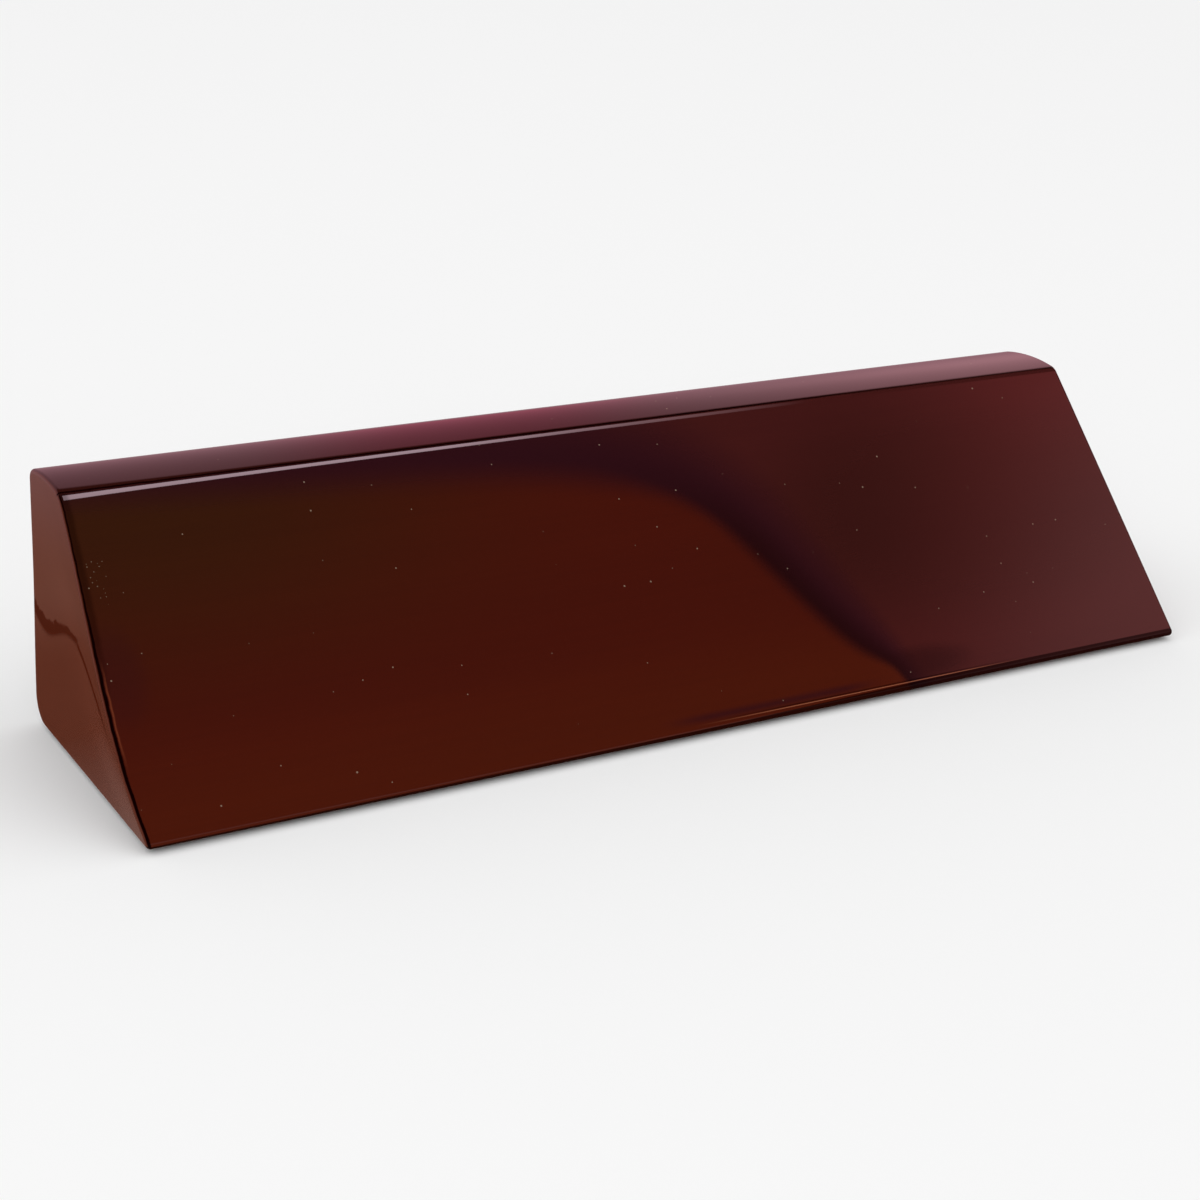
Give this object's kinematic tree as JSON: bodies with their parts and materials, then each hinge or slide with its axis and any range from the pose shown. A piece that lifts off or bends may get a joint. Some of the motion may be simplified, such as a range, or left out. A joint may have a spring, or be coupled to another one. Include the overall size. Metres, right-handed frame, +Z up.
{
  "type": "desk name plate wedge",
  "caption": "Free-standing rosewood-veneered desk wedge with a sloping front face for a name or award plate, domed top, high-gloss coat and felt base.",
  "frame": {"origin": "on the table, under the centre of the block's outer box", "axes": "+X along the length, towards the right end seen from the front; -Y is the side that the sloping face looks to; +Z up"},
  "size_m": [0.216, 0.0586, 0.0478],
  "materials": {
    "mdf_core": "sawn medium-density fibreboard",
    "rosewood_veneer": "stained rosewood veneer, sanded fine",
    "balancing_veneer": "plain sealed balancing veneer",
    "gloss_coat": "mirror-polished clear polyester coat over rosewood",
    "black_felt": "thin matted felt"
  },
  "bodies": {
    "root": {"core_board_front": "mdf_core", "core_board_middle": "mdf_core", "core_board_back": "mdf_core", "front_veneer": "rosewood_veneer", "top_veneer": "rosewood_veneer", "back_veneer": "rosewood_veneer", "base_veneer": "balancing_veneer", "left_end_veneer": "rosewood_veneer", "right_end_veneer": "rosewood_veneer", "gloss_coat": "gloss_coat", "felt_pad": "black_felt"}
  },
  "joints": []
}
